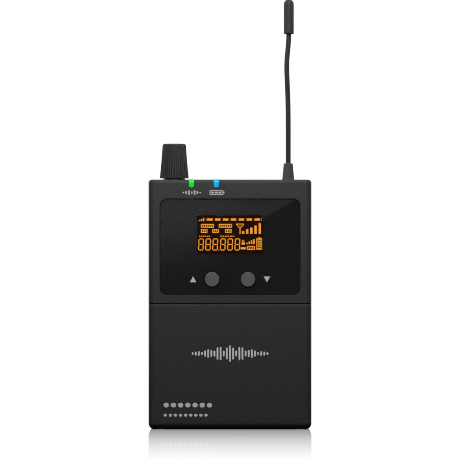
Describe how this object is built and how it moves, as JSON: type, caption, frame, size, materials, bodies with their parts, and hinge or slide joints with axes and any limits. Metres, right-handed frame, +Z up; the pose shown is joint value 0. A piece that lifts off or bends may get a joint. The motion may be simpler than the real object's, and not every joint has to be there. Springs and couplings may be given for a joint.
{
  "type": "wireless receiver unit",
  "caption": "Body-pack radio receiver with a lit display window, push buttons, ribbed volume knob, whip antenna, flip-down battery door and sprung belt clip.",
  "frame": {"origin": "centre of the casing's bottom face, where it stands", "axes": "+X to the antenna side, +Y from the display face to the belt-clip face, +Z up to the antenna tip"},
  "size_m": [0.0642, 0.0338, 0.1697],
  "materials": {
    "case_plastic": "fine-textured matte black moulding",
    "clip_plastic": "matte black moulding",
    "latch_plastic": "matte black moulding",
    "inner_plastic": "smooth black inner moulding",
    "knob_plastic": "matte black, ribbed",
    "collar_plastic": "black nut",
    "button_plastic": "mid-grey matte",
    "switch_plastic": "black moulding",
    "socket_plastic": "black moulding",
    "lens_acrylic": "smoked clear acrylic, polished",
    "mask_film": "black printed film",
    "display_glass": "dark display glass",
    "light_guide": "amber light guide",
    "silicone": "striped contact strip",
    "green_light": "clear resin, lit green",
    "blue_light": "clear resin, lit blue",
    "lamp_resin": "clear lamp resin",
    "circuit_board": "green solder mask",
    "chip_resin": "moulded chip resin",
    "tinned_sheet": "tinned sheet",
    "bright_steel": "bright steel",
    "black_steel": "blackened steel",
    "nickel": "nickel plate",
    "brass": "brass",
    "antenna_rubber": "matte black rubber",
    "battery_can": "printed sleeve on a metal can, at a cell's mean density"
  },
  "bodies": {
    "casing": {"front_cover": "case_plastic", "rear_shell": "case_plastic", "door_hinge_pins": "bright_steel", "case_screws": "black_steel", "window_lens": "lens_acrylic", "lens_mask": "mask_film", "lcd_glass": "display_glass", "lcd_backlight": "light_guide", "lcd_contact_strip": "silicone", "lcd_holder": "inner_plastic", "display_board": "circuit_board", "display_board_screws": "bright_steel", "up_switch": "switch_plastic", "down_switch": "switch_plastic", "audio_light_pipe": "green_light", "battery_light_pipe": "blue_light", "audio_lamp": "lamp_resin", "battery_lamp": "lamp_resin", "volume_pot": "bright_steel", "volume_collar": "collar_plastic", "headphone_socket": "socket_plastic", "socket_ring_nut": "nickel", "antenna_socket": "brass", "antenna_strap": "brass", "antenna_sleeve": "antenna_rubber", "antenna_whip": "antenna_rubber", "antenna_tip": "antenna_rubber", "main_board": "circuit_board", "main_board_screws": "bright_steel", "radio_shield": "tinned_sheet", "board_chips": "chip_resin", "board_connector": "switch_plastic", "left_latch_spring": "bright_steel", "right_latch_spring": "bright_steel", "battery_tray": "inner_plastic", "lower_battery": "battery_can", "upper_battery": "battery_can", "battery_contacts": "nickel", "battery_springs": "nickel", "clip_bracket": "case_plastic", "clip_pin": "bright_steel", "clip_spring": "bright_steel", "clip_screws": "black_steel"},
    "volume_knob": {"volume_knob": "knob_plastic", "volume_shaft": "bright_steel"},
    "up_button": {"up_button": "button_plastic"},
    "down_button": {"down_button": "button_plastic"},
    "battery_door": {"battery_door": "case_plastic"},
    "left_latch": {"left_latch": "latch_plastic"},
    "right_latch": {"right_latch": "latch_plastic"},
    "belt_clip": {"belt_clip": "clip_plastic"}
  },
  "joints": [
    {"name": "door_open", "type": "hinge", "parent": "casing", "child": "battery_door", "pos_m": [0, -0.00915, 0.0015], "axis": [1, 0, 0], "range_deg": [0, 88]},
    {"name": "volume_turn", "type": "hinge", "parent": "casing", "child": "volume_knob", "pos_m": [-0.02205, 0, 0.105], "axis": [0, 0, -1], "range_deg": [-150, 150]},
    {"name": "up_press", "type": "slide", "parent": "casing", "child": "up_button", "axis": [0, 1, 0], "range_m": [0, 0.0005], "stiffness_N_per_m": 400, "springref_m": -0.0015},
    {"name": "down_press", "type": "slide", "parent": "casing", "child": "down_button", "axis": [0, 1, 0], "range_m": [0, 0.0005], "stiffness_N_per_m": 400, "springref_m": -0.0015},
    {"name": "left_latch_press", "type": "slide", "parent": "casing", "child": "left_latch", "axis": [1, 0, 0], "range_m": [0, 0.001], "stiffness_N_per_m": 500, "springref_m": -0.0015, "deforming": ["left_latch_spring"]},
    {"name": "right_latch_press", "type": "slide", "parent": "casing", "child": "right_latch", "axis": [-1, 0, 0], "range_m": [0, 0.001], "stiffness_N_per_m": 500, "springref_m": -0.0015, "deforming": ["right_latch_spring"]},
    {"name": "clip_open", "type": "hinge", "parent": "casing", "child": "belt_clip", "pos_m": [0, 0.0162, 0.078], "axis": [1, 0, 0], "range_deg": [0, 18], "stiffness_Nm_per_rad": 0.15, "springref_deg": -20.05, "deforming": ["clip_spring"]}
  ]
}
